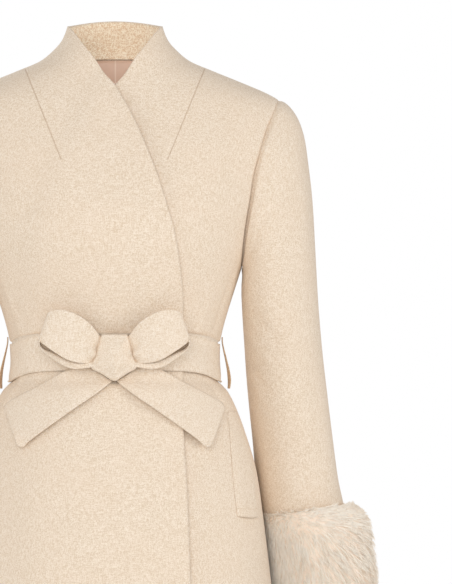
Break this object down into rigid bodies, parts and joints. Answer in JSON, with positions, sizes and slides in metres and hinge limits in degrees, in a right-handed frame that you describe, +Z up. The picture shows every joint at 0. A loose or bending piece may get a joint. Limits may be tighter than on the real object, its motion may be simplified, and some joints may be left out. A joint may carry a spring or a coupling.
{
  "type": "belted wrap coat",
  "caption": "Hollow worn wrap coat in wool boucle with a grown-on funnel collar, tied self-belt, slanted pocket welts and deep fur cuffs.",
  "frame": {"origin": "middle of the neck base between the shoulder seams' upper ends, where the wearer carries the coat", "axes": "+Z up, -Y to the coat's front, +X to the wearer's left"},
  "size_m": [0.66, 0.3389, 1.0916],
  "materials": {
    "cloth": "cream wool boucle, matt, with a fine two-tone grain",
    "belt": "the coat's own cream wool boucle, doubled",
    "carrier": "narrow folded strip of the coat's cloth",
    "facing": "wool boucle, a little deeper in tone",
    "lining": "rose-taupe satin with a soft sheen",
    "fur": "long soft fur pile, blush cream"
  },
  "bodies": {
    "root": {"front_right": "cloth", "front_left": "cloth", "back": "cloth", "sleeve_left": "cloth", "sleeve_right": "cloth", "fur_cuff_left": "fur", "fur_cuff_right": "fur", "back_neck_facing": "facing", "back_lining": "lining", "belt_band": "belt", "belt_knot": "belt", "belt_loop_left": "belt", "belt_loop_right": "belt", "belt_tail_left": "belt", "belt_tail_right": "belt", "belt_carrier_left": "carrier", "belt_carrier_right": "carrier", "pocket_welt_left": "cloth", "pocket_welt_right": "cloth"}
  },
  "joints": []
}
